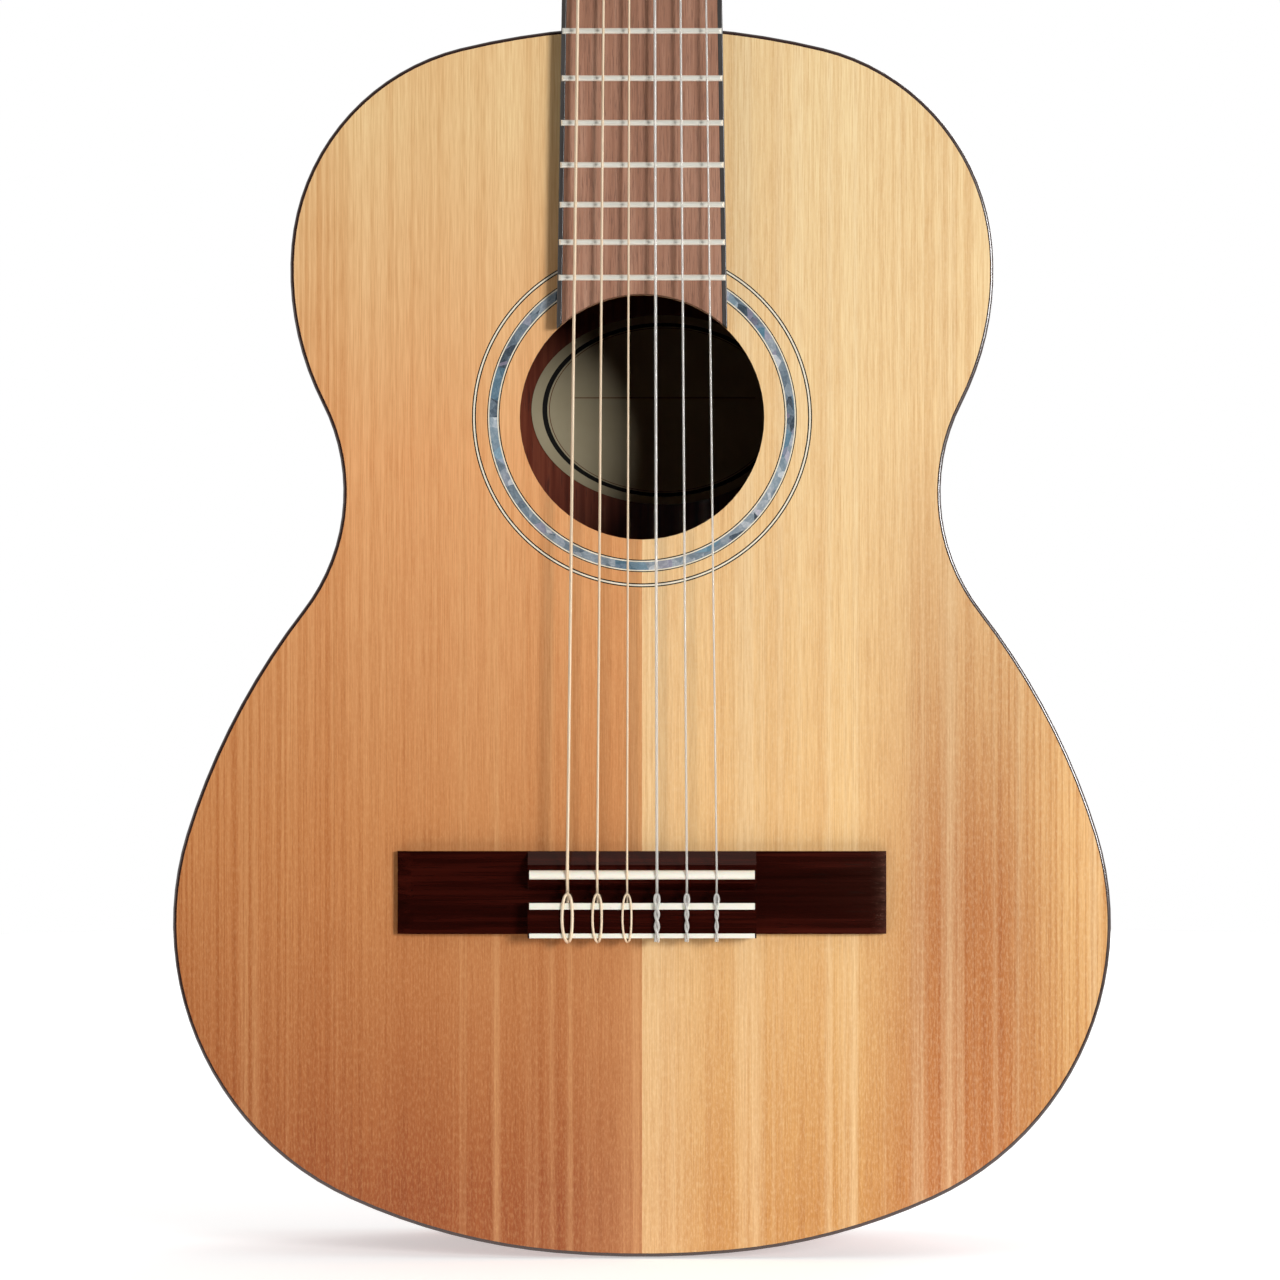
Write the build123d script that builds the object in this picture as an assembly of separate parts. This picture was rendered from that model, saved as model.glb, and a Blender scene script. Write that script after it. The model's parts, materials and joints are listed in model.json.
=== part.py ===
from build123d import *
import os
from math import atan, cos, degrees, hypot, pi, radians, sin, tan

# A three-quarter-size classical guitar, taken apart into the pieces it is built of.
# +Z runs up the neck to the head, the soundboard faces -Y and +X is the treble side.
# The origin is on the centreline, in the plane of the soundboard's face, level with the
# shoulders of the head, where the fork of a wall hanger carries the guitar.

# Scale and neck
SCALE = 590.0
NUT_Z = -12.0
NUT_THICK = 5.0
HEAD_START_Z = NUT_Z + NUT_THICK
FRET_COUNT = 18
BODY_FRET = 12
NUT_WIDTH = 47.4
BODY_FRET_WIDTH = 56.6
NECK_DEPTH_AT_NUT = 15.2
NECK_DEPTH_AT_BODY = 17.6
FINGERBOARD_THICK = 6.0
EDGE_STRIP = 1.8
FRET_WIDTH = 2.1
FRET_HEIGHT = 1.0
FRET_TANG = (0.55, 1.7)
FRET_END_BEVEL = 35.0
FRET_END_GAP = 0.35

# Body: tangent arcs from the neck end round to the tail, each a radius and the degrees it turns.
# A negative turn is the hollow of the waist. The last arc is worked out, to meet the centreline square.
BODY_ARCS = (
    (268.0, 13.8),
    (78.4, 71.25),
    (103.1, 31.95),
    (68.1, -64.8),
    (247.3, 20.65),
    (106.6, 82.7),
    (221.0, 19.5),
)
FRET_12_Z = NUT_Z - SCALE / 2
BODY_TOP_Z = FRET_12_Z + 2.55
DEPTH_AT_NECK = 84.0
DEPTH_AT_TAIL = 90.0
PLATE_THICK = 2.6
SIDE_THICK = 2.4
BINDING = (1.3, 5.0)
LINING = (4.8, 12.0)
SOUNDHOLE_Z = FRET_12_Z - 135.05
SOUNDHOLE_R = 43.0

# Rosette: inlaid rings between these radii, 1.2 deep
INLAY_DEPTH = 1.2
SHELL_RING = (50.9, 53.7)
BLACK_RINGS = ((50.1, 50.45), (54.1, 54.45), (58.4, 58.85), (59.35, 59.8))
WHITE_RINGS = ((50.45, 50.9), (53.7, 54.1), (58.85, 59.35))

# Maker's label: an oval on the back plate, a little to the treble side of the soundhole's centre
LABEL_AT = (7.8, SOUNDHOLE_Z + 6.6)
LABEL_HALF_WIDTH = 48.5
LABEL_HALF_HEIGHT = 34.9
LABEL_THICK = 0.25

# Bridge, along the strings from its front edge, in distances below the twelfth fret
BRIDGE_FRONT = 287.45
BRIDGE_BACK = 316.5
BRIDGE_HALF_LENGTH = 85.8
BRIDGE_WING_HEIGHT = 3.6
SADDLE_AT = SCALE / 2 + 0.5
SADDLE_THICK = 3.15
SADDLE_HALF_LENGTH = 39.4
SADDLE_HEIGHT = 11.0
SADDLE_SEAT_HEIGHT = 7.6
TIE_BLOCK = (305.35, 317.65)
TIE_BLOCK_HALF_LENGTH = 40.0
TIE_BLOCK_HEIGHT = 9.3
TIE_HOLE_HEIGHT = 4.9
TIE_HOLE_R = 0.85
TIE_STRIPS = ((305.35, 307.65), (315.95, 317.65))
TIE_STRIP_HALF_LENGTH = 39.5
TIE_STRIP_DEEP = 1.2

# Strings, from the bass: radius of each, and the width of its tie over the block
STRING_RADII = (0.56, 0.45, 0.38, 0.51, 0.41, 0.36)
TIE_WIDTHS = (4.6, 4.0, 3.8, 2.6, 2.4, 2.3)
SPREAD_AT_NUT = 38.0
SPREAD_AT_SADDLE = 52.2
STRING_UNDERSIDE_AT_NUT = 7.65
TIE_FRONT = 302.1

# Head, in its own frame: x across, y back from the wooden face, z up from the nut
HEAD_TILT = 14.0
HEAD_HALF_WIDTH = 33.0
HEAD_THICK = 15.0
HEAD_SHOULDER = 14.0
HEAD_SIDE_TOP = 150.0
VENEER_THICK = 2.0
SLOT_INNER, SLOT_OUTER = 6.0, 20.5
SLOT_LOW, SLOT_HIGH = 30.0, 128.0
RAMP_START = 15.0
RAMP_DEEP = 9.0

# Tuning machines: three a side on one plate, a worm and a 14-tooth wheel each
ROLLER_HEIGHTS = (44.0, 79.0, 114.0)
ROLLER_AXIS_DEEP = 7.5
ROLLER_R = 4.9
ROLLER_HOLE_R = 5.1
ROLLER_STUB_R = 2.6
ROLLER_STUB_END = 2.2
POST_R = 2.5
BEARING_GAP = 0.05
PLATE_LOW, PLATE_HIGH = 26.0, 132.0
PLATE_METAL = 1.2
WHEEL_X = 37.6
WHEEL_TEETH = 14
WHEEL_PITCH_R = 5.5
WHEEL_THICK = 3.4
WORM_PITCH_R = 2.3
TOOTH_OUT = 0.7
TOOTH_IN = 0.9
WORM_LEAD = 2 * pi * WHEEL_PITCH_R / WHEEL_TEETH
WORM_LEAD_ANGLE = degrees(atan(WORM_LEAD / (2 * pi * WORM_PITCH_R)))
WORM_SPAN = (2.9, 12.1)
WORM_CENTRE_DROP = WHEEL_PITCH_R + WORM_PITCH_R
SHAFT_R = 1.6
LUG_SPANS = ((1.3, 2.6), (12.4, 13.7))
BUTTON_SPAN = (20.0, 38.0)
WRAP_GAP = 0.1
WRAP_TURNS = 3.5

SIDES = {"bass": -1, "treble": 1}
FAR = 400.0


def below_fret_12(distance):
    """The z of a point on the body, from its distance below the twelfth fret."""
    return FRET_12_Z - distance


def fret_distance(number):
    return SCALE * (1 - 2 ** (-number / 12))


def board_width(z):
    """Width of the fingerboard and neck at a height."""
    taper = (BODY_FRET_WIDTH - NUT_WIDTH) / (SCALE / 2)
    return NUT_WIDTH + taper * (NUT_Z - z)


def neck_depth(z):
    """Depth of the neck's wood behind the fingerboard at a height."""
    share = (NUT_Z - z) / (SCALE / 2)
    return NECK_DEPTH_AT_NUT + share * (NECK_DEPTH_AT_BODY - NECK_DEPTH_AT_NUT)


def standing(sketch, front, back):
    """A solid from an (x, z) sketch, between two depths behind the soundboard's face."""
    return extrude(Plane.XZ.offset(-front) * sketch, amount=back - front, dir=(0, 1, 0))


def block(x, y, z):
    """A box between pairs of limits."""
    middle = [(low + high) / 2 for low, high in (x, y, z)]
    return Pos(*middle) * Box(*[high - low for low, high in (x, y, z)])


def cylinder_x(radius, x0, x1):
    """A cylinder along X, between two positions."""
    return Pos((x0 + x1) / 2, 0, 0) * Rot(0, 90, 0) * Cylinder(radius, abs(x1 - x0))


def mirrored(shape):
    return mirror(shape, about=Plane.YZ)


def save(name, *shapes):
    """Writes one node: a single solid, or a group of separate ones."""
    solids = [solid for shape in shapes for solid in shape.solids()]
    export_step(solids[0] if len(solids) == 1 else Compound(children=solids), f"parts/{name}.step")


# Body outline and the solids cut from it


def half_outline(inset):
    """The treble half of the body, as a face from the centreline to the outline less an inset."""
    start, heading, turned, edges = Vector(0, BODY_TOP_Z - inset), 0.0, 0.0, []
    for radius, turn in BODY_ARCS:
        radius -= inset if turn > 0 else -inset
        tangent = (cos(radians(heading)), sin(radians(heading)))
        edges.append(JernArc(start=start, tangent=tangent, radius=radius, arc_size=-turn))
        start, heading, turned = edges[-1] @ 1, heading - turn, turned + turn
    last = 180 - turned
    tangent = (cos(radians(heading)), sin(radians(heading)))
    edges.append(JernArc(start=start, tangent=tangent, radius=start.X / sin(radians(last)), arc_size=-last))
    edges.append(Line(edges[-1] @ 1, edges[0] @ 0))
    return make_face(Wire(edges))


def outline(inset):
    half = half_outline(inset)
    return half + mirror(half, about=Plane.YZ)


def rim(outer_inset, inner_inset, front, back):
    """A band that follows the outline."""
    return standing(outline(outer_inset) - outline(inner_inset), front, back)


BODY_BOTTOM_Z = half_outline(0).bounding_box().min.Y
BACK_TILT = degrees(atan((DEPTH_AT_TAIL - DEPTH_AT_NECK) / (BODY_TOP_Z - BODY_BOTTOM_Z)))


def behind(front, back):
    """A large slab parallel to the back plate, between two depths from its outer face."""
    slab = block((-FAR, FAR), (front, back), (-2 * FAR, FAR))
    return Pos(0, DEPTH_AT_NECK, BODY_TOP_Z) * Rot(BACK_TILT, 0, 0) * slab


BODY_FRONT_OF_BACK = behind(-FAR, -PLATE_THICK)
HEEL_TENON = block((-11, 11), (6, 72), (BODY_TOP_Z - 15, BODY_TOP_Z + 1))


def ring(radii, depth=INLAY_DEPTH):
    """An inlaid ring round the soundhole."""
    inner, outer = radii
    sketch = Pos(0, SOUNDHOLE_Z) * (Circle(outer) - Circle(inner))
    return standing(sketch, 0, depth)


def soundboard_half(side):
    half = half_outline(BINDING[0])
    board = standing(half if side > 0 else mirrored(half), 0, PLATE_THICK)
    board -= standing(Pos(0, SOUNDHOLE_Z) * Circle(SOUNDHOLE_R), -1, PLATE_THICK + 1)
    for inner, outer in ((BLACK_RINGS[0][0], BLACK_RINGS[1][1]), (BLACK_RINGS[2][0], BLACK_RINGS[3][1])):
        board -= ring((inner, outer))
    return board


def top_binding():
    return rim(0, BINDING[0], 0, BINDING[1])


def back_binding():
    return rim(0, BINDING[0], PLATE_THICK, DEPTH_AT_TAIL + 5) & behind(-BINDING[1], 0)


def back_plate():
    return standing(outline(BINDING[0]), DEPTH_AT_NECK / 2, DEPTH_AT_TAIL + 5) & behind(-PLATE_THICK, 0)


def sides():
    """Both ribs, which meet on the centreline at the neck and at the tail."""
    band = rim(0, SIDE_THICK, PLATE_THICK, DEPTH_AT_TAIL + 5) & BODY_FRONT_OF_BACK
    band = band - top_binding() - back_binding() - HEEL_TENON
    return {name: band & block(sorted((0, side * FAR)), (-FAR, FAR), (-2 * FAR, FAR))
            for name, side in SIDES.items()}


def neck_and_tail_blocks():
    inner = outline(SIDE_THICK)
    neck_end = inner & Pos(0, BODY_TOP_Z) * Rectangle(64, 60)
    tail_end = inner & Pos(0, BODY_BOTTOM_Z) * Rectangle(76, 38)
    room = BODY_FRONT_OF_BACK - HEEL_TENON
    return [standing(end, PLATE_THICK, DEPTH_AT_TAIL + 5) & room for end in (neck_end, tail_end)]


def linings(blocks):
    """The strips that widen the glued joints of the soundboard and of the back."""
    inner = SIDE_THICK + LINING[0]
    top = rim(SIDE_THICK, inner, PLATE_THICK, PLATE_THICK + LINING[1])
    back = rim(SIDE_THICK, inner, PLATE_THICK, DEPTH_AT_TAIL + 5)
    back &= behind(-PLATE_THICK - LINING[1], -PLATE_THICK)
    return [lining - blocks[0] - blocks[1] - HEEL_TENON for lining in (top, back)]


def bar(z, half_width, y):
    return block((-FAR, FAR), y, (z - half_width, z + half_width))


def soundboard_braces():
    """A bar each side of the soundhole, and five fan struts below it."""
    room = standing(outline(SIDE_THICK + LINING[0] + 0.2), PLATE_THICK, PLATE_THICK + 14)
    clear = SOUNDHOLE_R + 16
    bars = [room & bar(SOUNDHOLE_Z + way * clear, 4, (PLATE_THICK, PLATE_THICK + 14)) for way in (1, -1)]
    fan_top = SOUNDHOLE_Z - clear - 4.5
    fan_length = fan_top - BODY_BOTTOM_Z - 30
    struts = []
    for number in range(-2, 3):
        strut = block((-2.5, 2.5), (PLATE_THICK, PLATE_THICK + 4.5), (-fan_length, 0))
        struts.append(Pos(number * 20, 0, fan_top - 1.5) * Rot(0, -number * 5.5, 0) * strut)
    return [*bars, *struts]


def back_braces():
    room = standing(outline(SIDE_THICK + LINING[0] + 0.2), DEPTH_AT_NECK / 2, DEPTH_AT_TAIL)
    room &= behind(-PLATE_THICK - 11, -PLATE_THICK)
    heights = (SOUNDHOLE_Z + 66, SOUNDHOLE_Z - 66, SOUNDHOLE_Z - 186)
    return [room & bar(z, 4.5, (0, 2 * FAR)) for z in heights]


def maker_label():
    """An oval of paper glued inside the back, in view through the soundhole."""
    sketch = Pos(*LABEL_AT) * Ellipse(LABEL_HALF_WIDTH, LABEL_HALF_HEIGHT)
    paper = behind(-PLATE_THICK - LABEL_THICK, -PLATE_THICK)
    return standing(sketch, DEPTH_AT_NECK / 2, DEPTH_AT_TAIL) & paper


# Neck, heel and head


def neck_section(width, depth):
    """The neck's cross-section: flat on top, with a full round back, in four edges."""
    def point(angle):
        across, deep = cos(radians(angle)), sin(radians(angle))
        power = 2 / 2.45
        return (width / 2 * abs(across) ** power * (1 if across >= 0 else -1), depth * deep ** power)

    corner = 52
    side = [point(corner * step / 4) for step in range(5)]
    back = [point(corner + (180 - 2 * corner) * step / 6) for step in range(7)]
    far_side = [(-x, y) for x, y in reversed(side)]
    edges = [Line(far_side[-1], side[0]), Spline(*side), Spline(*back), Spline(*far_side)]
    return make_face(Wire(edges))


def neck_shaft_form():
    ends = []
    for z in (BODY_TOP_Z - 4, HEAD_START_Z):
        ends.append(Plane.XY.offset(z) * neck_section(board_width(z), neck_depth(z)))
    return loft(ends, ruled=True)


def heel_section(width, length):
    """A slice of the heel at one depth: flat against the body, and round towards the head."""
    foot = BODY_TOP_Z - 4
    tip = (0, BODY_TOP_Z + length)
    right = Bezier((width / 2, foot), (width / 2, foot + 0.62 * length), (0.30 * width, tip[1]), tip)
    left = Bezier(tip, (-0.30 * width, tip[1]), (-width / 2, foot + 0.62 * length), (-width / 2, foot))
    return make_face(Wire([Line((-width / 2, foot), (width / 2, foot)), right, left]))


def heel_form():
    cap = DEPTH_AT_NECK + 3
    slices = ((7, 52, 70), (15, 48, 48), (25, 40, 33), (42, 30, 24), (64, 22, 19), (cap, 17, 17))
    return loft([Plane.XZ.offset(-y) * heel_section(width, length) for y, width, length in slices])


HEAD = Pos(0, 0, HEAD_START_Z) * Rot(-HEAD_TILT, 0, 0)
ABOVE_NUT = block((-FAR, FAR), (-FAR, FAR), (HEAD_START_Z, FAR))


def head_outline(low, low_half_width):
    """The head seen from the front: straight shoulders, straight sides and a plain crest of arcs."""
    right, top = HEAD_HALF_WIDTH, HEAD_SIDE_TOP
    notch, peak = (19, top + 6.5), (0, top + 15)
    edges = [
        Line((-low_half_width, low), (low_half_width, low)),
        Line((low_half_width, low), (right, HEAD_SHOULDER)),
        Line((right, HEAD_SHOULDER), (right, top)),
        ThreePointArc((right, top), (27.5, top + 5.2), notch),
        ThreePointArc(notch, peak, (-notch[0], notch[1])),
        ThreePointArc((-notch[0], notch[1]), (-27.5, top + 5.2), (-right, top)),
        Line((-right, top), (-right, HEAD_SHOULDER)),
        Line((-right, HEAD_SHOULDER), (-low_half_width, low)),
    ]
    return make_face(Wire(edges))


def head_form():
    """The head's wood, with the carved swell that leads into it from the neck."""
    half, thick = HEAD_HALF_WIDTH, HEAD_THICK
    corners = [(-half, 0), (half, 0), (half, thick), (-half, thick)]
    square = make_face(Wire([Line(a, b) for a, b in zip(corners, corners[1:] + corners[:1])]))
    start = HEAD_START_Z
    neck_end = Plane.XY.offset(start) * neck_section(board_width(start), neck_depth(start))
    shoulder = HEAD * (Plane.XY.offset(HEAD_SHOULDER) * square)
    swell = loft([neck_end, shoulder], ruled=True)
    flat = head_outline(HEAD_SHOULDER - 0.01, HEAD_HALF_WIDTH)
    return swell + HEAD * standing(flat, 0, HEAD_THICK)


def string_slots():
    """The two long slots through the head, with a ramp for the strings at the nut end."""
    middle, width = (SLOT_INNER + SLOT_OUTER) / 2, SLOT_OUTER - SLOT_INNER
    length = SLOT_HIGH - SLOT_LOW
    slot = Pos(middle, (SLOT_LOW + SLOT_HIGH) / 2) * Rot(0, 0, 90) * SlotOverall(length, width)
    cutter = standing(slot, -VENEER_THICK - 1, HEAD_THICK + 1)
    face = -VENEER_THICK
    foot = SLOT_LOW + 8
    slope = (RAMP_DEEP - face) / (foot - RAMP_START)
    profile = Polyline((face - 1, RAMP_START - 1 / slope), (face - 1, foot), (RAMP_DEEP, foot), close=True)
    cutter += extrude(Plane.YZ.offset(SLOT_INNER) * make_face(profile), amount=width)
    return cutter + mirrored(cutter)


def roller_holes():
    """Holes through each cheek of the head, and blind ones in the rib between the slots."""
    holes = []
    for height in ROLLER_HEIGHTS:
        for side in SIDES.values():
            cheek = cylinder_x(ROLLER_HOLE_R, side * (SLOT_INNER + 1), side * (HEAD_HALF_WIDTH + 1))
            blind = cylinder_x(ROLLER_STUB_R + 0.15, side * (ROLLER_STUB_END - 0.2), side * (SLOT_INNER + 2))
            holes.append(Pos(0, ROLLER_AXIS_DEEP, height) * (cheek + blind))
    return holes


def screw_holes():
    """Holes for the wood screws of both tuner plates."""
    return [Pos(0, *place) * cylinder_x(1.3, side * (HEAD_HALF_WIDTH - 8.5), side * (HEAD_HALF_WIDTH + 1))
            for side in SIDES.values() for place in plate_screw_places()]


def neck_pieces():
    """The shaft, the heel glued under it and the head spliced to it on a sloping scarf."""
    body = standing(outline(0), -1, DEPTH_AT_TAIL + 10)
    whole = neck_shaft_form() + heel_form() - body
    whole = whole + HEEL_TENON & behind(-FAR, 0)
    head = head_form()
    scarf_low, scarf_high, scarf_back = NUT_Z - 32, HEAD_START_Z - 1.5, NECK_DEPTH_AT_NUT
    run = (scarf_high - scarf_low) / scarf_back
    front_edge = [(-30, scarf_low - 30 * run), (-30, FAR)]
    wedge = Polyline(*front_edge, (60, FAR), (60, scarf_low + 60 * run), close=True)
    above_scarf = extrude(Plane.YZ * make_face(wedge), amount=FAR, both=True)
    head = (head + (whole & above_scarf)).clean()
    shaft = whole - above_scarf
    head_wood = head & above_scarf
    shaft = shaft + (head_form() - above_scarf)
    glue_plane = block((-FAR, FAR), (16.5, FAR), (-2 * FAR, BODY_TOP_Z + 90))
    heel = shaft & glue_plane
    shaft = shaft - glue_plane
    heel_cap = heel & behind(-2.2, 0)
    head_wood = head_wood - HEAD * string_slots()
    for hole in roller_holes() + screw_holes():
        head_wood -= HEAD * hole
    return {"neck_shaft": shaft, "heel": heel & behind(-FAR, -2.2), "heel_cap": heel_cap, "head": head_wood}


def head_veneer():
    low = -2.0
    half = board_width(HEAD_START_Z) / 2
    flare = (HEAD_HALF_WIDTH - half) / HEAD_SHOULDER
    veneer = standing(head_outline(low, half + flare * low), -VENEER_THICK, 0) - string_slots()
    return HEAD * veneer & ABOVE_NUT


# Fingerboard, frets and nut


def board_end_cutter():
    return standing(Pos(0, SOUNDHOLE_Z) * Circle(SOUNDHOLE_R), -FAR, FAR)


def board_form(inset, width_limit=0.0):
    """The fingerboard's taper less an inset each side, from the nut to past the soundhole's edge."""
    low = SOUNDHOLE_Z + SOUNDHOLE_R * 0.5
    top, bottom = board_width(NUT_Z) / 2 - inset, board_width(low) / 2 - inset
    taper = make_face(Polyline((-top, NUT_Z), (top, NUT_Z), (bottom, low), (-bottom, low), close=True))
    return standing(taper, -FINGERBOARD_THICK, 0) - board_end_cutter()


def fret(number):
    """Rounded crown with bevelled ends, and the tang that holds it in its slot."""
    z = NUT_Z - fret_distance(number)
    half = board_width(z) / 2 - FRET_END_GAP
    tang_wide, tang_deep = FRET_TANG
    crown = make_face(Wire([
        Line((-FRET_WIDTH / 2, 0), (FRET_WIDTH / 2, 0)),
        ThreePointArc((FRET_WIDTH / 2, 0), (0, FRET_HEIGHT), (-FRET_WIDTH / 2, 0)),
    ]))
    wire = extrude(Plane.YZ.offset(-half) * Rot(0, 0, 90) * crown, amount=2 * half)
    wire = Pos(0, -FINGERBOARD_THICK, z) * wire
    lean = FRET_HEIGHT * 2 * tan(radians(FRET_END_BEVEL))
    for way in (-1, 1):
        corner = Polyline((way * (half + 5), -2 * FRET_HEIGHT), (way * (half - lean), -2 * FRET_HEIGHT),
                          (way * half, 0), (way * (half + 5), 0), close=True)
        wire -= Pos(0, -FINGERBOARD_THICK, z) * extrude(make_face(corner), amount=FRET_WIDTH, both=True)
    tang_half = half - EDGE_STRIP
    tang = block((-tang_half, tang_half), (-FINGERBOARD_THICK, tang_deep - FINGERBOARD_THICK),
                 (z - tang_wide / 2, z + tang_wide / 2))
    return wire + tang, tang


def nut():
    half = board_width(NUT_Z) / 2
    piece = block((-half, half), (-8.3, 0), (NUT_Z, HEAD_START_Z))
    back_edge = piece.edges().filter_by(Axis.X).sort_by(Axis.Y)[:2].sort_by(Axis.Z)[-1]
    return fillet(back_edge, 2.2)


# Bridge


def bridge_profile():
    """The middle of the bridge from the side, as (y, distance below the twelfth fret)."""
    crest = -SADDLE_SEAT_HEIGHT
    front, back = TIE_BLOCK
    return [
        (0, BRIDGE_FRONT),
        (-BRIDGE_WING_HEIGHT, BRIDGE_FRONT),
        (crest, SADDLE_AT - 3.4),
        (crest, SADDLE_AT + 3.0),
        (-BRIDGE_WING_HEIGHT, SADDLE_AT + 5.6),
        (-BRIDGE_WING_HEIGHT, front),
        (-TIE_BLOCK_HEIGHT, front),
        (-TIE_BLOCK_HEIGHT, back),
        (0, back),
    ]


def bridge():
    profile = make_face(Polyline(*[(y, below_fret_12(s)) for y, s in bridge_profile()], close=True))
    middle = extrude(Plane.YZ * profile, amount=TIE_BLOCK_HALF_LENGTH, both=True)
    wings = block((-BRIDGE_HALF_LENGTH, BRIDGE_HALF_LENGTH), (-BRIDGE_WING_HEIGHT, 0),
                  (below_fret_12(BRIDGE_BACK), below_fret_12(BRIDGE_FRONT)))
    ends = wings.edges().filter_by(Axis.Z).sort_by(Axis.Y)[:2]
    piece = chamfer(ends, 1.4, 6.0) + middle
    piece -= saddle_block(SADDLE_SEAT_HEIGHT + 1)
    for strip in tie_strips():
        piece -= strip
    for x, _ in string_places():
        hole = Cylinder(TIE_HOLE_R, 2 * (TIE_BLOCK[1] - TIE_BLOCK[0]))
        piece -= Pos(x, -TIE_HOLE_HEIGHT, below_fret_12(sum(TIE_BLOCK) / 2)) * hole
    return piece


def saddle_block(height):
    """The saddle's own thickness and length, seated 2.2 above the soundboard."""
    z = below_fret_12(SADDLE_AT)
    return block((-SADDLE_HALF_LENGTH, SADDLE_HALF_LENGTH), (-height, -2.2),
                 (z - SADDLE_THICK / 2, z + SADDLE_THICK / 2))


def saddle():
    piece = saddle_block(SADDLE_HEIGHT)
    crown = piece.edges().filter_by(Axis.X).sort_by(Axis.Y)[:2]
    return fillet(crown, SADDLE_THICK / 2 - 0.05)


def tie_strips():
    return [block((-TIE_STRIP_HALF_LENGTH, TIE_STRIP_HALF_LENGTH),
                  (-TIE_BLOCK_HEIGHT, TIE_STRIP_DEEP - TIE_BLOCK_HEIGHT),
                  (below_fret_12(low), below_fret_12(high))) for high, low in TIE_STRIPS]


# Strings


def string_places():
    """Each string's place across the saddle and across the nut, from the bass."""
    for number in range(len(STRING_RADII)):
        share = number / (len(STRING_RADII) - 1) - 0.5
        yield SPREAD_AT_SADDLE * share, SPREAD_AT_NUT * share


def string_roller(number):
    """Which side and which roller a string, counted from the bass, winds on, and where along it."""
    side = -1 if number < 3 else 1
    rank = number if number < 3 else 5 - number
    return side, ROLLER_HEIGHTS[rank], side * (18.0, 13.2, 9.6)[rank]


def loop_end(bend, wire_r, way):
    """The upper or lower half of a ring of round wire that lies in the XZ plane."""
    whole = Rot(90, 0, 0) * Torus(bend, wire_r)
    return whole & block((-FAR, FAR), (-FAR, FAR), sorted((0, way * FAR)))


def tie_loop(x, wire_r, width):
    """The string's tie: a long flat loop lying over the tie block."""
    bend = width / 2 - wire_r
    high = below_fret_12(TIE_FRONT) - wire_r - bend
    low = below_fret_12(TIE_BLOCK[1]) - wire_r - 0.1 + bend
    loop = Pos(0, 0, high) * loop_end(bend, wire_r, 1) + Pos(0, 0, low) * loop_end(bend, wire_r, -1)
    for way in (-1, 1):
        loop += Pos(way * bend, 0, (high + low) / 2) * Cylinder(wire_r, high - low)
    return Pos(x, -TIE_BLOCK_HEIGHT - wire_r - 0.03, 0) * loop


def string(number):
    """From its wraps round the roller, over nut and saddle, through the tie block and into its tie."""
    radius = STRING_RADII[number]
    x_saddle, x_nut = list(string_places())[number]
    side, height, x_wrap = string_roller(number)
    wrap_in = ROLLER_R + WRAP_GAP
    leave = (HEAD * Pos(x_wrap, ROLLER_AXIS_DEEP - wrap_in - radius, height)).position
    tie_back = below_fret_12(TIE_BLOCK[1]) - radius - 0.1
    path = FilletPolyline(
        leave,
        (x_nut, -STRING_UNDERSIDE_AT_NUT - radius, NUT_Z + 1.2),
        (x_saddle, -SADDLE_HEIGHT - radius - 0.06, below_fret_12(SADDLE_AT)),
        (x_saddle, -TIE_HOLE_HEIGHT, below_fret_12(TIE_BLOCK[0] - 0.6)),
        (x_saddle, -TIE_HOLE_HEIGHT, tie_back),
        (x_saddle, -TIE_BLOCK_HEIGHT - radius, tie_back),
        radius=[6.0, 1.6, 2.0, radius + 0.15],
    )
    run = sweep(Plane(origin=path @ 0, z_dir=path % 0) * Circle(radius), path=path)
    wraps = cylinder_x(wrap_in + 2 * radius, -WRAP_TURNS * radius, WRAP_TURNS * radius)
    wraps -= cylinder_x(wrap_in, -FAR, FAR)
    wraps = HEAD * Pos(x_wrap, ROLLER_AXIS_DEEP, height) * wraps
    return run + wraps + tie_loop(x_saddle, radius, TIE_WIDTHS[number])


# Tuning machines, in the head's frame


def tuner_plate(side):
    """One stamped plate with a pair of lugs for each worm, and holes for the roller posts."""
    inner, outer = HEAD_HALF_WIDTH, HEAD_HALF_WIDTH + PLATE_METAL
    width = HEAD_THICK - 1.0
    length = PLATE_HIGH - PLATE_LOW
    flat = Rot(0, 0, 90) * RectangleRounded(length, width, 4.0)
    centre = (ROLLER_AXIS_DEEP, (PLATE_LOW + PLATE_HIGH) / 2)
    plate = extrude(Plane.YZ.offset(inner) * Pos(*centre) * flat, amount=PLATE_METAL)
    for height in ROLLER_HEIGHTS:
        worm_z = height - WORM_CENTRE_DROP
        for low, high in LUG_SPANS:
            arm = block((inner + 0.2, WHEEL_X), (low, high), (worm_z - 3.1, worm_z + 3.1))
            eye = Pos(WHEEL_X, (low + high) / 2, worm_z) * Rot(90, 0, 0) * Cylinder(3.1, high - low)
            plate += arm + eye
        bore = Pos(WHEEL_X, ROLLER_AXIS_DEEP, worm_z) * Rot(90, 0, 0) * Cylinder(SHAFT_R + BEARING_GAP, 40)
        plate -= bore
        plate -= Pos(0, ROLLER_AXIS_DEEP, height) * cylinder_x(POST_R + BEARING_GAP, inner - 1, outer + 1)
    for screw in plate_screw_places():
        plate -= Pos(0, *screw) * cylinder_x(1.3, inner - 1, outer + 1)
    return plate if side > 0 else mirrored(plate)


def plate_screw_places():
    """Four wood screws a plate: at its ends and between the machines, as (y, z)."""
    middles = [(low + high) / 2 + 3 for low, high in zip(ROLLER_HEIGHTS, ROLLER_HEIGHTS[1:])]
    return [(ROLLER_AXIS_DEEP, z) for z in (PLATE_LOW + 3.2, *middles, PLATE_HIGH - 4.5)]


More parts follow.
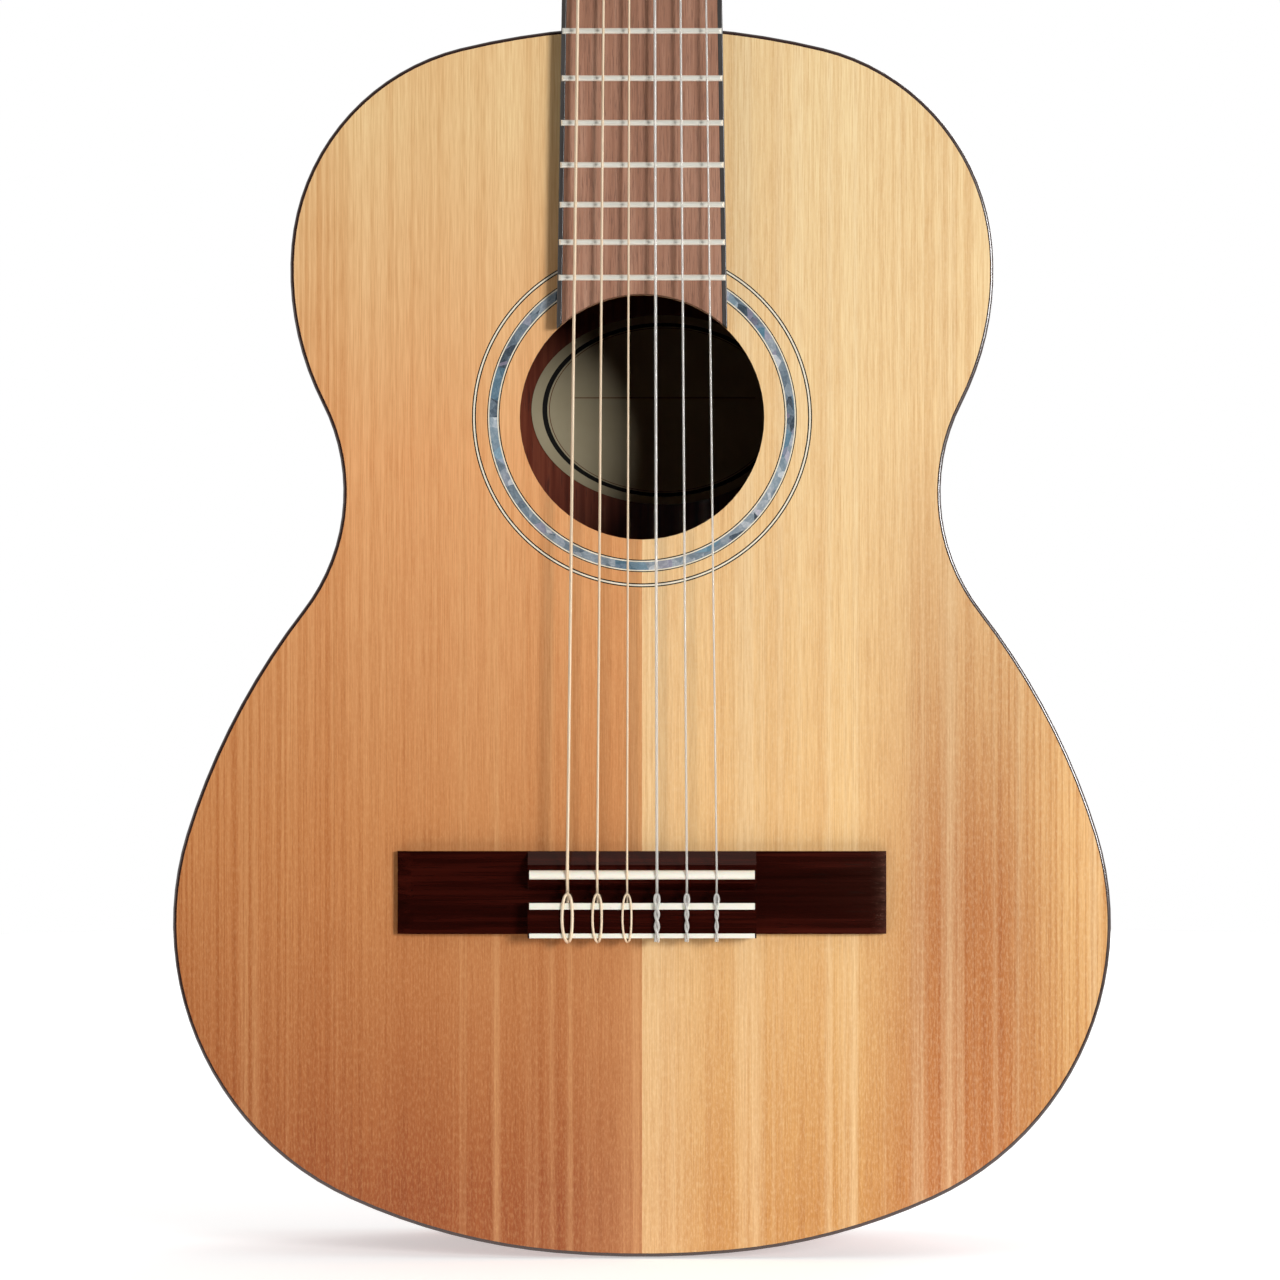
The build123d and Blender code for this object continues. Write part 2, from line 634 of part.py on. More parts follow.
def plate_screw(side, place):
    outer = HEAD_HALF_WIDTH + PLATE_METAL
    head = Pos(outer + 0.9, 0, 0) * (Sphere(2.6) & cylinder_x(2.2, -0.9, 2.6))
    slot = block((outer + 1.1, outer + 3), (-0.3, 0.3), (-3, 3))
    shank = cylinder_x(1.25, outer - 9, outer + 0.2)
    screw = Pos(0, *place) * (head - slot + shank)
    return screw if side > 0 else mirrored(screw)


def roller(side):
    """String roller with its stub in the head's rib and its post out through the plate."""
    barrel = cylinder_x(ROLLER_R, SLOT_INNER + 0.3, HEAD_HALF_WIDTH - 0.15)
    stub = cylinder_x(ROLLER_STUB_R, ROLLER_STUB_END, SLOT_INNER + 1)
    post = cylinder_x(POST_R, HEAD_HALF_WIDTH - 1, WHEEL_X + WHEEL_THICK / 2)
    piece = barrel + stub + post
    return piece if side > 0 else mirrored(piece)


def worm_wheel(side):
    """Fourteen sloping teeth on a disc, and the screw that holds it to the roller's post."""
    root, tip = WHEEL_PITCH_R - TOOTH_IN, WHEEL_PITCH_R + TOOTH_OUT
    wheel = cylinder_x(root, -WHEEL_THICK / 2, WHEEL_THICK / 2)
    flank = Polyline((root - 0.6, -0.62), (tip, -0.26), (tip, 0.26), (root - 0.6, 0.62), close=True)
    tooth = extrude(Plane.XY * make_face(flank), amount=WHEEL_THICK / 2 - 0.15, both=True)
    tooth = Rot(0, 90, 0) * Rot(-WORM_LEAD_ANGLE, 0, 0) * tooth
    for number in range(WHEEL_TEETH):
        turn = 360 / WHEEL_TEETH * (number + 0.5)
        wheel += Rot(turn, 0, 0) * tooth
    wheel -= cylinder_x(POST_R, -side * WHEEL_THICK, side * WHEEL_THICK / 2)
    face = side * WHEEL_THICK / 2
    cap = cylinder_x(2.3, face + side * 0.02, face + side * 1.3)
    slot = block(sorted((face + side * 0.8, face + side * 3)), (-3, 3), (-0.3, 0.3))
    return Pos(side * WHEEL_X, 0, 0) * wheel, Pos(side * WHEEL_X, 0, 0) * (cap - slot)


def worm(side):
    """The worm and its shaft, one turned piece, in line with the head's thickness."""
    low, high = WORM_SPAN
    core = WORM_PITCH_R - TOOTH_IN
    crest = WORM_PITCH_R + TOOTH_OUT
    start = ROLLER_AXIS_DEEP - 1.75 * WORM_LEAD
    path = Helix(pitch=WORM_LEAD, height=3.5 * WORM_LEAD, radius=core)
    flank = Polyline((-0.2, -0.62), (crest - core, -0.28), (crest - core, 0.28), (-0.2, 0.62), close=True)
    profile = Plane(origin=path @ 0, x_dir=(1, 0, 0), z_dir=path % 0) * make_face(flank)
    thread = Rot(-90, 0, 0) * sweep(profile, path=path, is_frenet=True)
    lathe = Rot(-90, 0, 0)
    piece = Pos(0, start, 0) * thread + Pos(0, (low + high) / 2, 0) * lathe * Cylinder(core, high - low)
    piece &= block((-9, 9), (low, high), (-9, 9))
    for a, b in ((LUG_SPANS[0][0], low), (high, BUTTON_SPAN[0] + 8)):
        piece += Pos(0, (a + b) / 2, 0) * lathe * Cylinder(SHAFT_R, b - a)
    return Pos(side * WHEEL_X, 0, -WORM_CENTRE_DROP) * piece


def button(side):
    """Moulded grip: a flattened oval with a short collar, bored for the shaft."""
    low, high = BUTTON_SPAN
    length = high - low
    grip = fillet(Box(8.4, length - 2, 13.5).edges(), 3.6)
    grip = Pos(0, low + 2 + (length - 2) / 2, 0) * grip
    collar = Pos(0, low + 2, 0) * Rot(90, 0, 0) * Cylinder(2.9, 4)
    bore = Pos(0, low + 3, 0) * Rot(90, 0, 0) * Cylinder(SHAFT_R, 10)
    return Pos(side * WHEEL_X, 0, -WORM_CENTRE_DROP) * (grip + collar - bore)


def build():
    os.makedirs("parts", exist_ok=True)
    for name, side in SIDES.items():
        save(f"soundboard_{name}_half", soundboard_half(side))
    save("rosette_shell_ring", ring(SHELL_RING))
    save("rosette_lines", *[ring(radii) for radii in BLACK_RINGS + WHITE_RINGS])
    save("back_plate", back_plate())
    for name, rib in sides().items():
        save(f"{name}_side", rib)
    save("top_binding", top_binding())
    save("back_binding", back_binding())
    blocks = neck_and_tail_blocks()
    save("neck_and_tail_blocks", *blocks)
    save("linings", *linings(blocks))
    save("soundboard_braces", *soundboard_braces())
    save("back_braces", *back_braces())
    save("maker_label", maker_label())

    for name, piece in neck_pieces().items():
        save(name, piece)
    save("head_veneer", head_veneer())

    core, whole = board_form(EDGE_STRIP), board_form(0)
    strips = whole - core
    frets = []
    for number in range(1, FRET_COUNT + 1):
        wire, tang = fret(number)
        core -= tang
        frets.append(wire)
    save("fingerboard", core)
    save("fingerboard_edge_strips", strips)
    save("frets", *frets)

    strings = [string(number) for number in range(len(STRING_RADII))]
    nut_piece, saddle_piece = nut(), saddle()
    for piece in strings:
        nut_piece -= piece
        saddle_piece -= piece
    save("nut", nut_piece)
    save("saddle", saddle_piece)
    save("bridge", bridge())
    save("tie_block_strips", *tie_strips())
    for number, piece in enumerate(strings):
        save(f"string_{len(strings) - number}", piece)

    screws = []
    for name, side in SIDES.items():
        save(f"{name}_tuner_plate", HEAD * tuner_plate(side))
        for place in plate_screw_places():
            screws.append(HEAD * plate_screw(side, place))
    save("tuner_plate_screws", *screws)
    for number in range(len(STRING_RADII)):
        side, height, _ = string_roller(number)
        at = HEAD * Pos(0, 0, height)
        label = f"tuner_{len(STRING_RADII) - number}"
        axis = HEAD * Pos(0, ROLLER_AXIS_DEEP, height)
        save(f"{label}_roller", axis * roller(side))
        save(f"{label}_wheel", *[axis * piece for piece in worm_wheel(side)])
        save(f"{label}_worm", at * worm(side))
        save(f"{label}_button", at * button(side))


build()
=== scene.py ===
import json
from math import cos, pi, radians, sin

import bmesh
import bpy
from mathutils import Matrix, Vector


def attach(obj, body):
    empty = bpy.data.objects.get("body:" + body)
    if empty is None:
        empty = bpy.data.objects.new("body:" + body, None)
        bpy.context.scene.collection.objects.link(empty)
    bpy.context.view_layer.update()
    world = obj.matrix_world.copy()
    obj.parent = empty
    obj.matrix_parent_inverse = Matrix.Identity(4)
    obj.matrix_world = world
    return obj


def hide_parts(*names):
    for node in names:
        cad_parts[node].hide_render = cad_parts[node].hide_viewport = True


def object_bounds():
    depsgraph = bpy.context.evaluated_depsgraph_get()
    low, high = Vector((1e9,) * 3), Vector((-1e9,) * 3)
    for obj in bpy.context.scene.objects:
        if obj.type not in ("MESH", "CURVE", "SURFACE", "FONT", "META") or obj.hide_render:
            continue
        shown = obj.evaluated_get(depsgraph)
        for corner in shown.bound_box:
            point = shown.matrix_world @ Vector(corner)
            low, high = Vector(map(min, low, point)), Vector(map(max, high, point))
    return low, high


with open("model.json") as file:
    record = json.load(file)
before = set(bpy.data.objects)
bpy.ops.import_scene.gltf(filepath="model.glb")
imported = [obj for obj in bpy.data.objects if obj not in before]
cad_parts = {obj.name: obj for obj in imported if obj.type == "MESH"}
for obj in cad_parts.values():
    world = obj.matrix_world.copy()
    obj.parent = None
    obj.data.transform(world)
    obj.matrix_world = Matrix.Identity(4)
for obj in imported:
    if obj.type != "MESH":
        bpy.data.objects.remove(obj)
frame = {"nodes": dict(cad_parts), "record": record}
cad_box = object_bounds()
guitar = frame["nodes"]

# Camera: straight in front of the soundboard, halfway up the body, with a long portrait lens.
# It takes in the body and the end of the fingerboard.
lens = bpy.data.cameras.new("front_view")
lens.sensor_width = 36
lens.lens = 135
lens.clip_start = 0.05
camera = bpy.data.objects.new("front_view", lens)
camera.location = (-0.0007, -1.6875, -0.52035)
camera.rotation_euler = (radians(90), 0, 0)
bpy.context.scene.collection.objects.link(camera)
bpy.context.scene.camera = camera
bpy.context.scene.view_settings.view_transform = "Standard"
bpy.context.scene.view_settings.look = "None"

# Studio: a white room, bright to the sides and overhead and dim behind the camera, a large soft
# lamp on the treble side, a weak one opposite, and one behind for the back and the head.
room = bpy.data.worlds.new("white_room")
bpy.context.scene.world = room
room.use_nodes = True
walls = room.node_tree.nodes["Background"]
seen = room.node_tree.nodes.new("ShaderNodeBackground")
ray = room.node_tree.nodes.new("ShaderNodeLightPath")
either = room.node_tree.nodes.new("ShaderNodeMixShader")
heading = room.node_tree.nodes.new("ShaderNodeTexCoord")
depth = room.node_tree.nodes.new("ShaderNodeSeparateXYZ")
dimming = room.node_tree.nodes.new("ShaderNodeMapRange")
dimming.interpolation_type = "SMOOTHSTEP"
for socket, value in (("From Min", -0.79), ("From Max", -0.5), ("To Min", 0.015), ("To Max", 0.58)):
    dimming.inputs[socket].default_value = value
for background in (walls, seen):
    background.inputs["Color"].default_value = (1, 1, 1, 1)
for start, end in (
    (heading.outputs["Generated"], depth.inputs[0]),
    (depth.outputs["Y"], dimming.inputs["Value"]),
    (dimming.outputs[0], walls.inputs["Strength"]),
    (ray.outputs["Is Camera Ray"], either.inputs[0]),
    (walls.outputs[0], either.inputs[1]),
    (seen.outputs[0], either.inputs[2]),
    (either.outputs[0], room.node_tree.nodes["World Output"].inputs["Surface"]),
):
    room.node_tree.links.new(start, end)


def soft_lamp(name, place, aim, size, power):
    lamp = bpy.data.lights.new(name, "AREA")
    lamp.shape = "DISK"
    lamp.size = size
    lamp.energy = power
    holder = bpy.data.objects.new(name, lamp)
    holder.location = place
    holder.rotation_euler = (Vector(aim) - Vector(place)).to_track_quat("-Z", "Y").to_euler()
    bpy.context.scene.collection.objects.link(holder)


soft_lamp("window_lamp", (1.18, -1.58, -0.26), (0, 0, -0.42), 0.6, 31)
soft_lamp("low_lamp", (-1.7, -0.8, -0.5), (0, 0, -0.5), 0.9, 2.4)
soft_lamp("back_lamp", (0.9, 1.9, 0.2), (0, 0.05, -0.4), 1.2, 15)

# Floor: a round sheet of white paper under the tail, most of it behind the guitar, so that it
# throws no light up into the soundhole.
bed = bmesh.new()
bmesh.ops.create_circle(bed, cap_ends=True, segments=96, radius=1.1)
bmesh.ops.translate(bed, verts=bed.verts, vec=(0, 0.86, cad_box[0][2] - 0.0006))
paper_floor = bpy.data.objects.new("paper_floor", bpy.data.meshes.new("paper_floor"))
bed.to_mesh(paper_floor.data)
bed.free()
bpy.context.scene.collection.objects.link(paper_floor)


# Soundboard: two bookmatched halves of quartersawn softwood, 2.6 mm thick, glued on the
# centreline. The bass half is coloured darker than the treble half, and both darken towards the
# tail, partly in the wood's own tone and partly as painted shade. The treble half has a painted shade
# stripe low on its outer side, and the side facing into the body is bare wood painted dark as shade.
class Value:
    """A number or colour that changes over a surface. Arithmetic on a number adds Math nodes."""

    def __init__(self, finish, socket):
        self.finish = finish
        self.socket = socket

    def math(self, operation, first, second=0.0):
        return self.finish.node("ShaderNodeMath", {"operation": operation}, {0: first, 1: second})

    def __add__(self, other):
        return self.math("ADD", self, other)

    def __radd__(self, other):
        return self.math("ADD", other, self)

    def __sub__(self, other):
        return self.math("SUBTRACT", self, other)

    def __rsub__(self, other):
        return self.math("SUBTRACT", other, self)

    def __mul__(self, other):
        return self.math("MULTIPLY", self, other)

    def __rmul__(self, other):
        return self.math("MULTIPLY", other, self)

    def __truediv__(self, other):
        return self.math("DIVIDE", self, other)

    def __pow__(self, other):
        return self.math("POWER", self, other)

    def __gt__(self, other):
        return self.math("GREATER_THAN", self, other)

    def __lt__(self, other):
        return self.math("LESS_THAN", self, other)

    def __abs__(self):
        return self.math("ABSOLUTE", self)


class Finish:
    """A material being made: constants go on its shader, and every other node comes from node()."""

    def __init__(self, name, constants):
        self.material = bpy.data.materials.new(name)
        self.material.use_nodes = True
        self.tree = self.material.node_tree
        self.shader = self.tree.nodes["Principled BSDF"]
        for socket, value in constants.items():
            self.shader.inputs[socket].default_value = value

    def node(self, kind, settings, sockets, output=0):
        made = self.tree.nodes.new(kind)
        for key, value in settings.items():
            if key == "stops":
                stops = made.color_ramp.elements
                stops[0].position, stops[1].position = value[0][0], value[-1][0]
                stops[0].color, stops[1].color = value[0][1], value[-1][1]
                for place, colour in value[1:-1]:
                    stops.new(place).color = colour
            else:
                setattr(made, key, value)
        for key, value in sockets.items():
            if isinstance(value, Value):
                self.tree.links.new(value.socket, made.inputs[key])
            else:
                made.inputs[key].default_value = value
        return Value(self, made.outputs[output])

    def place(self, scale=(1, 1, 1), shift=(0, 0, 0)):
        """The piece's own coordinates in metres, shifted and stretched."""
        own = self.node("ShaderNodeTexCoord", {}, {}, "Object")
        sockets = {"Vector": own, "Location": shift, "Scale": scale}
        return self.node("ShaderNodeMapping", {"vector_type": "POINT"}, sockets)

    def noise(self, where, detail=3.0, rough=0.55):
        sockets = {"Vector": where, "Scale": 1.0, "Detail": detail, "Roughness": rough}
        return self.node("ShaderNodeTexNoise", {}, sockets)

    def cells(self, where, scale):
        return self.node("ShaderNodeTexVoronoi", {}, {"Vector": where, "Scale": scale}, "Color")

    def part(self, vector, axis):
        return self.node("ShaderNodeSeparateXYZ", {}, {0: vector}, axis)

    def ramp(self, share, *stops):
        return self.node("ShaderNodeValToRGB", {"stops": stops}, {0: share})

    def mix(self, share, first, second, blend="MIX"):
        settings = {"data_type": "RGBA", "blend_type": blend}
        return self.node("ShaderNodeMix", settings, {0: share, 6: first, 7: second}, 2)

    def span(self, value, low, high, to_low=0.0, to_high=1.0):
        """A number moved from one span to another, and kept inside it."""
        sockets = {0: value, 1: low, 2: high, 3: to_low, 4: to_high}
        return self.node("ShaderNodeMapRange", {"clamp": True}, sockets)

    def relief(self, height, depth, strength=1.0):
        sockets = {"Height": height, "Distance": depth, "Strength": strength}
        self.feed("Normal", self.node("ShaderNodeBump", {}, sockets))

    def feed(self, socket, value):
        self.tree.links.new(value.socket, self.shader.inputs[socket])


def tint(red, green, blue):
    """A colour as it is read off a colour card, out of 255, made linear for the shader."""
    linear = []
    for share in (red, green, blue):
        linear.append(((share / 255 + 0.055) / 1.055) ** 2.4 if share > 10 else share / 3295)
    return (*linear, 1)


def dress(names, finish):
    """Gives a material to CAD pieces that keep their own shape."""
    for name in names:
        for place in guitar[name].material_slots:
            place.material = finish.material


BOARD_LOW, BOARD_HIGH = -0.72, -0.335
SHADE_STRIPE_AT = 0.144
UNDERSIDE_SHADE_FROM = 0.0008


def softwood_top(name, light, *tone_and_shade_stops, shade=None):
    """Long streaks up the board, growth lines that close up towards the edge, and a slow change of tone
    darker towards the tail, partly the wood's own tone and partly painted shade.
    """
    top = Finish(name, {"Coat Weight": 0.2, "Coat Roughness": 0.25, "Specular IOR Level": 0.28})
    here = top.place()
    across, up = abs(top.part(here, "X")), top.part(here, "Z")
    cloud = top.noise(top.place(scale=(6, 1, 3.4)), detail=3) - 0.5
    bands = top.noise(top.place(scale=(34, 1, 0.9)), detail=2)
    streaks = top.noise(top.place(scale=(150, 1, 0.8)), detail=3, rough=0.6)
    hair = top.noise(top.place(scale=(520, 1, 1.6)), detail=2)
    fibre = top.noise(top.place(scale=(2400, 1, 60)), detail=3, rough=0.6)
    speckle = top.noise(top.place(scale=(1500, 1, 460)), detail=2, rough=0.7)
    edge = top.span(across + cloud * 0.06, 0.085, 0.15)
    height = top.span(up + cloud * 0.04, BOARD_LOW, BOARD_HIGH)
    # Darker towards the tail: partly the wood's own tone and partly painted shade.
    body = top.ramp(height, *zip((0.0, 0.36, 0.70, 1.0), tone_and_shade_stops))
    # Painted shade: a darker stripe low on the treble half's outer side, broken up by the bands.
    if shade:
        away = abs(across + bands * 0.06 - SHADE_STRIPE_AT)
        painted_shade_stripe = top.span(up + cloud * 0.1, -0.62, -0.45, 1, 0) * top.span(away, 0.012, 0.046, 0.86, 0)
        body = top.mix(painted_shade_stripe, body, shade)
    body = top.mix(top.span(across, 0.002, 0.030, 0.30, 0), body, light)
    body = top.mix(top.span(bands, 0.35, 0.65, 0, 0.9), body, (0.91, 0.82, 0.75, 1), "MULTIPLY")
    body = top.mix(top.span(streaks, 0.53, 0.70, 0, 0.34), body, light)
    body = top.mix(top.span(hair, 0.46, 0.60) * (edge * 0.7 + 0.4), body, (0.84, 0.73, 0.62, 1), "MULTIPLY")
    body = top.mix(top.span(fibre, 0.40, 0.66, 0, 0.9), body, (0.84, 0.74, 0.65, 1), "MULTIPLY")
    body = top.mix(top.span(speckle, 0.45, 0.70, 0, 0.18), body, light)
    # Painted shade: the inner face is coloured much darker than bare softwood, so that the inside of the body
    # looks dark through the soundhole.
    painted_shade_underside = top.part(here, "Y") > UNDERSIDE_SHADE_FROM
    body = top.mix(painted_shade_underside, body, top.mix(fibre, tint(96, 60, 40), tint(122, 80, 54)))
    top.feed("Base Color", body)
    top.feed("Roughness", top.span(speckle + hair * 0.4, 0.4, 1.0, 0.50, 0.36))
    top.relief(fibre * 0.5 + speckle * 0.5, 0.00004, 0.5)
    return top


bass_top = softwood_top("bass_softwood", tint(238, 188, 132), tint(156, 84, 38), tint(214, 148, 92),
                        tint(248, 186, 128), tint(255, 222, 166))
# The treble half's shade colour is painted shade, laid as a stripe low on its outer side.
treble_top = softwood_top("treble_softwood", tint(255, 232, 188), tint(206, 152, 86), tint(248, 206, 144),
                          tint(255, 222, 166), tint(255, 228, 174), shade=tint(184, 110, 54))
dress(["soundboard_bass_half"], bass_top)
dress(["soundboard_treble_half"], treble_top)


# Rosette: fibre lines and a ring of shell let 1.2 mm into the soundboard and levelled with it.
# The lines stand in black and white pairs round the shell, and as a black, white, black ring outside.
SOUNDHOLE = Vector((0, 0, -0.44205))
WHITE_LINES = ((0.05046, 0.05092), (0.05368, 0.0541), (0.0588, 0.05938))


def round_the_hole(finish):
    """Distance from the soundhole's centre, and the angle round it."""
    here = finish.place(shift=(0, 0, -SOUNDHOLE.z))
    flat = finish.node("ShaderNodeVectorMath", {"operation": "MULTIPLY"}, {0: here, 1: (1, 0, 1)})
    reach = finish.node("ShaderNodeVectorMath", {"operation": "LENGTH"}, {0: flat}, "Value")
    sides = {0: finish.part(here, "Z"), 1: finish.part(here, "X")}
    angle = finish.node("ShaderNodeMath", {"operation": "ARCTAN2"}, sides)
    return reach, angle


fibre_lines = Finish("black_and_white_fibre", {"Coat Weight": 0.15, "Coat Roughness": 0.2, "Roughness": 0.5,
                                               "Specular IOR Level": 0.2})
reach, angle = round_the_hole(fibre_lines)
white = 0.0
for inner, outer in WHITE_LINES:
    white = (reach > inner) * (reach < outer) + white
mottle = fibre_lines.noise(fibre_lines.place(scale=(900, 900, 900)))
white_fibre = fibre_lines.mix(mottle, tint(252, 244, 224), tint(236, 224, 198))
fibre_lines.feed("Base Color", fibre_lines.mix(white, tint(12, 8, 6), white_fibre))
dress(["rosette_lines"], fibre_lines)

shell = Finish("shell", {"Coat Weight": 0.7, "Coat Roughness": 0.08, "Specular IOR Level": 0.5})
reach, angle = round_the_hole(shell)


def shell_grid(round_share, out_share, depth=0.0):
    """Coordinates that run round the ring and out across it."""
    sockets = {"X": angle * round_share, "Y": reach * out_share, "Z": depth}
    return shell.node("ShaderNodeCombineXYZ", {}, sockets)


plates = shell.cells(shell_grid(5.2, 160.0), 1.0)
plate_tone = shell.part(plates, "X")
flakes = shell.cells(shell_grid(15.0, 300.0, plate_tone * 8.0), 1.0)
flake_tone = shell.part(flakes, "X")
ripple = shell.noise(shell_grid(30.0, 900.0, plate_tone * 20.0), detail=4, rough=0.65)
tone = plate_tone * 0.4 + flake_tone * 0.3 + ripple * 0.3
sheen = shell.ramp(tone, (0.2, tint(68, 78, 88)), (0.38, tint(102, 116, 128)), (0.52, tint(126, 140, 150)),
                   (0.64, tint(150, 160, 168)), (0.78, tint(196, 200, 204)), (0.92, tint(240, 238, 234)))
teal = shell.mix(shell.span(shell.part(plates, "Z"), 0.74, 0.9, 0, 0.5), sheen, tint(112, 164, 188))
violet = shell.mix(shell.span(shell.part(flakes, "Y"), 0.8, 0.9, 0, 0.4), teal, tint(176, 160, 184))
shell.feed("Base Color", violet)
shell.feed("Roughness", shell.span(ripple, 0.3, 0.7, 0.18, 0.36))
shell.relief(flake_tone, 0.00002, 0.3)
dress(["rosette_shell_ring"], shell)


# Bars, struts, linings and blocks: bare wood glued inside the body. The bars and fan struts
# under the soundboard are softwood, and the rest is a plain reddish hardwood.
def timber(name, dark, middle, light, constants, grain="Z", figure=14.0, streak=420.0, pore=0.62, fill=0.6,
           gloss=(0.42, 0.58), deep=0.00003):
    """A hardwood with its grain up the piece or across it: slow bands, fine streaks and open pores."""
    wood = Finish(name, constants)

    def lie(scale, stretch):
        return wood.place(scale=[scale * stretch if axis == grain else scale for axis in "XYZ"])

    bands = wood.noise(lie(figure, 0.12), detail=3)
    streaks = wood.noise(lie(streak, 0.02), detail=4, rough=0.62)
    pores = wood.span(wood.noise(lie(streak * 4.2, 0.04), detail=2), pore, pore + 0.07)
    body = wood.ramp(bands * 0.5 + streaks * 0.5, (0.34, dark), (0.5, middle), (0.66, light))
    pore_colour = (*[share * 0.35 for share in dark[:3]], 1)
    wood.feed("Base Color", wood.mix(pores * fill, body, pore_colour))
    wood.feed("Roughness", wood.span(streaks + pores * 0.4, 0.35, 1.0, *gloss))
    wood.relief(streaks * 0.35 - pores, deep, 0.6)
    return wood


bare = {"Specular IOR Level": 0.3}
bare_hardwood = timber("bare_hardwood", tint(98, 56, 40), tint(128, 78, 56), tint(150, 98, 72), bare,
                       gloss=(0.62, 0.78))
bare_softwood = timber("bare_softwood", tint(196, 158, 110), tint(214, 180, 132), tint(226, 196, 150), bare,
                       streak=700.0, pore=0.9, gloss=(0.6, 0.75))
dress(["neck_and_tail_blocks", "linings", "back_braces"], bare_hardwood)
dress(["soundboard_braces"], bare_softwood)

# Sides and back: red-brown hardwood under a clear gloss lacquer. The sides are bent in one
# piece each from neck to tail, and the back is flat.
node_body = {}
for body, names in frame["record"]["behaviour"]["bodies"].items():
    for name in names:
        node_body[name] = body


def eased(name, finish, edge=0.0003, steps=2, crease=30):
    """Stands for a CAD piece: a copy with its seams merged and its sharp edges rounded as by sanding."""
    shape = bmesh.new()
    shape.from_mesh(guitar[name].data)
    bmesh.ops.remove_doubles(shape, verts=shape.verts, dist=0.000002)
    bmesh.ops.dissolve_limit(shape, angle_limit=radians(0.4), verts=shape.verts, edges=shape.edges)
    for face in shape.faces:
        face.smooth = True
        face.material_index = 0
    for line in shape.edges:
        line.smooth = len(line.link_faces) == 2 and line.calc_face_angle() < radians(crease)
    piece = bpy.data.objects.new(name + "_finished", bpy.data.meshes.new(name + "_finished"))
    shape.to_mesh(piece.data)
    shape.free()
    piece.data.materials.append(finish.material)
    bpy.context.scene.collection.objects.link(piece)
    if edge:
        rounding = piece.modifiers.new("eased_edges", "BEVEL")
        rounding.width = edge
        rounding.segments = steps
        rounding.limit_method = "ANGLE"
        rounding.angle_limit = radians(crease)
        rounding.harden_normals = True
        rounding.use_clamp_overlap = True
    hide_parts(name)
    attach(piece, node_body[name])
    return piece


lacquer = {"Coat Weight": 0.8, "Coat Roughness": 0.06, "Specular IOR Level": 0.35}
body_wood = timber("lacquered_red_hardwood", tint(80, 32, 21), tint(116, 52, 34), tint(146, 76, 50), lacquer,
                   figure=26.0, gloss=(0.3, 0.45), deep=0.000006)
for name in ("bass_side", "treble_side", "back_plate"):
    eased(name, body_wood, edge=0)

# Bindings: strips of dark brown plastic let into the corners where the sides meet the
# soundboard and the back, glued and scraped flush under the lacquer.
dark_strip = Finish("dark_binding", {"Coat Weight": 1.0, "Coat Roughness": 0.12})
scrape = dark_strip.noise(dark_strip.place(scale=(300, 300, 300)))
dark_strip.feed("Base Color", dark_strip.mix(scrape, tint(40, 24, 20), tint(62, 38, 31)))
dark_strip.feed("Roughness", dark_strip.span(scrape, 0.3, 0.7, 0.24, 0.36))
BODY_MIDDLE = Vector((0, 0, -0.53))
SCRAPED = 0.0009


def rounded_strip(name, finish, facing):
    """A binding with only its outer corner scraped round, so that it stays flush with its plate."""
    strip = eased(name, finish, edge=0, crease=40)
    shape = bmesh.new()
    shape.from_mesh(strip.data)
    corner = []
    for line in shape.edges:
        if len(line.link_faces) == 2:
            first, second = sorted(line.link_faces, key=lambda face: facing * face.normal.y)
            out = (line.verts[0].co - BODY_MIDDLE) * Vector((1, 0, 1))
            if facing * second.normal.y > 0.9 and abs(first.normal.y) < 0.2 and first.normal.dot(out) > 0:
                corner.append(line)
    bmesh.ops.bevel(shape, geom=corner, offset=SCRAPED, affect="EDGES", segments=4, profile=0.5, material=-1)
    for face in shape.faces:
        face.smooth = True
    shape.to_mesh(strip.data)
    shape.free()
    strip.data.set_sharp_from_angle(angle=radians(35))


rounded_strip("top_binding", dark_strip, -1)
rounded_strip("back_binding", dark_strip, 1)

# Label: an oval of cream paper pasted inside the back, with a black border, a thin brown line
# inside it and one brown rule across.
LABEL_HALF_WIDTH, LABEL_HALF_HEIGHT = 0.0485, 0.0349
LABEL_X, LABEL_Z = 0.0078, -0.43545
RULE_UP, RULE_HALF_LENGTH = 0.0044, 0.034
paper = Finish("cream_paper", {"Roughness": 0.8, "Specular IOR Level": 0.2})
here = paper.place(shift=(-LABEL_X, 0, -LABEL_Z))
across, up = paper.part(here, "X"), paper.part(here, "Z")
oval = ((across / LABEL_HALF_WIDTH) ** 2.0 + (up / LABEL_HALF_HEIGHT) ** 2.0) ** 0.5
ageing = paper.noise(paper.place(scale=(60, 60, 60)), detail=5)
sheet = paper.mix(ageing, tint(190, 178, 148), tint(166, 153, 122))
black_border = (oval > 0.88) * (oval < 0.918)
brown_line = (oval > 0.861) * (oval < 0.867)
brown_rule = (abs(up - RULE_UP) < 0.00016) * (abs(across) < RULE_HALF_LENGTH)
sheet = paper.mix(black_border, sheet, tint(22, 20, 18))
paper.feed("Base Color", paper.mix(brown_line + brown_rule, sheet, tint(104, 62, 38)))
dress(["maker_label"], paper)

# Neck, heel and head: one red-brown hardwood in three glued pieces, carved round behind the
# fingerboard and rubbed to a satin finish. The heel ends in a dark cap flush with the back.
neck_wood = timber("satin_neck_hardwood", tint(96, 50, 32), tint(126, 70, 45), tint(150, 92, 62),
                   {"Coat Weight": 0.35, "Coat Roughness": 0.3}, figure=20.0, gloss=(0.38, 0.52), deep=0.000015)
eased("neck_shaft", neck_wood, edge=0.0003)
eased("heel", neck_wood, edge=0.0004)
eased("head", neck_wood, edge=0.0007, steps=3)
eased("heel_cap", dark_strip, edge=0.0003)

